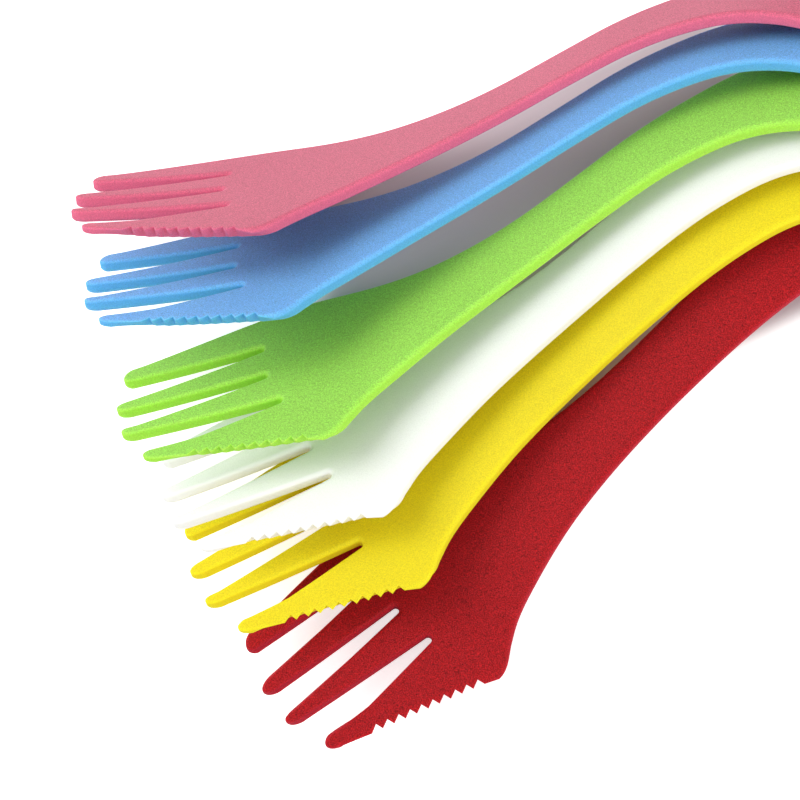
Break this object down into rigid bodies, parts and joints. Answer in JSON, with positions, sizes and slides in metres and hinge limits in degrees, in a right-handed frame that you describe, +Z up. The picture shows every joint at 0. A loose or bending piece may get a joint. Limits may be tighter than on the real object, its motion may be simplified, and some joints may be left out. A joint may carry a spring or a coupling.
{
  "type": "plastic cutlery pack",
  "caption": "Fanned pile of two-ended camping sporks in mixed colours: four-tined fork with a serrated edge at one end, S-curved handle, down-facing spoon at the other.",
  "frame": {"origin": "centre of the bounding box at the surface that the pile lies on", "axes": "+X along the fan's middle, from the fork tips to the spoon ends, +Y towards the far side of the fan where the top utensil lies, +Z up"},
  "size_m": [0.1812, 0.1526, 0.0317],
  "materials": {
    "red_plastic": "satin, finely speckled",
    "yellow_plastic": "satin",
    "white_plastic": "satin",
    "green_plastic": "satin",
    "blue_plastic": "satin",
    "pink_plastic": "satin, finely speckled"
  },
  "bodies": {
    "root": {"spork_red": "red_plastic", "spork_yellow": "yellow_plastic", "spork_white": "white_plastic", "spork_green": "green_plastic", "spork_blue": "blue_plastic", "spork_pink": "pink_plastic"}
  },
  "joints": []
}
